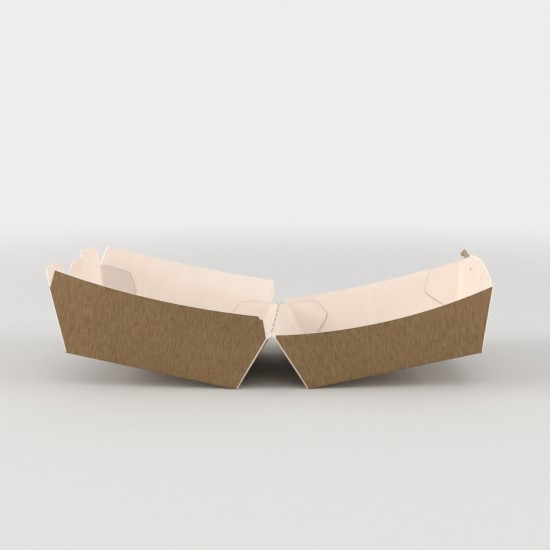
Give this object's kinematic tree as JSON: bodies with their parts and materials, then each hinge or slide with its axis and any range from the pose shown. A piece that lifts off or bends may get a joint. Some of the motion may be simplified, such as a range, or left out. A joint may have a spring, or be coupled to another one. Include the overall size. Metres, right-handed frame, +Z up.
{
  "type": "clamshell burger box",
  "caption": "Folding board food box with a flared base tray and a flared lid tray joined at a crease, with lock ears on the base and a slit, arched tongue on the lid.",
  "frame": {"origin": "centre of the open box's footprint, on the surface it stands on", "axes": "+X from the base to the lid, +Y along the hinge crease, away from the pictured side, +Z up"},
  "size_m": [0.2254, 0.1177, 0.0645],
  "materials": {
    "base_board": "matt kraft board, pale inside",
    "lid_board": "matt kraft board, pale inside"
  },
  "bodies": {
    "base": {"base_tray": "base_board"},
    "lid": {"lid_tray": "lid_board"}
  },
  "joints": [
    {"name": "lid_hinge", "type": "hinge", "parent": "base", "child": "lid", "pos_m": [0.00038, 0, 0.02971], "axis": [0, -1, 0], "range_deg": [-25, 144]}
  ]
}
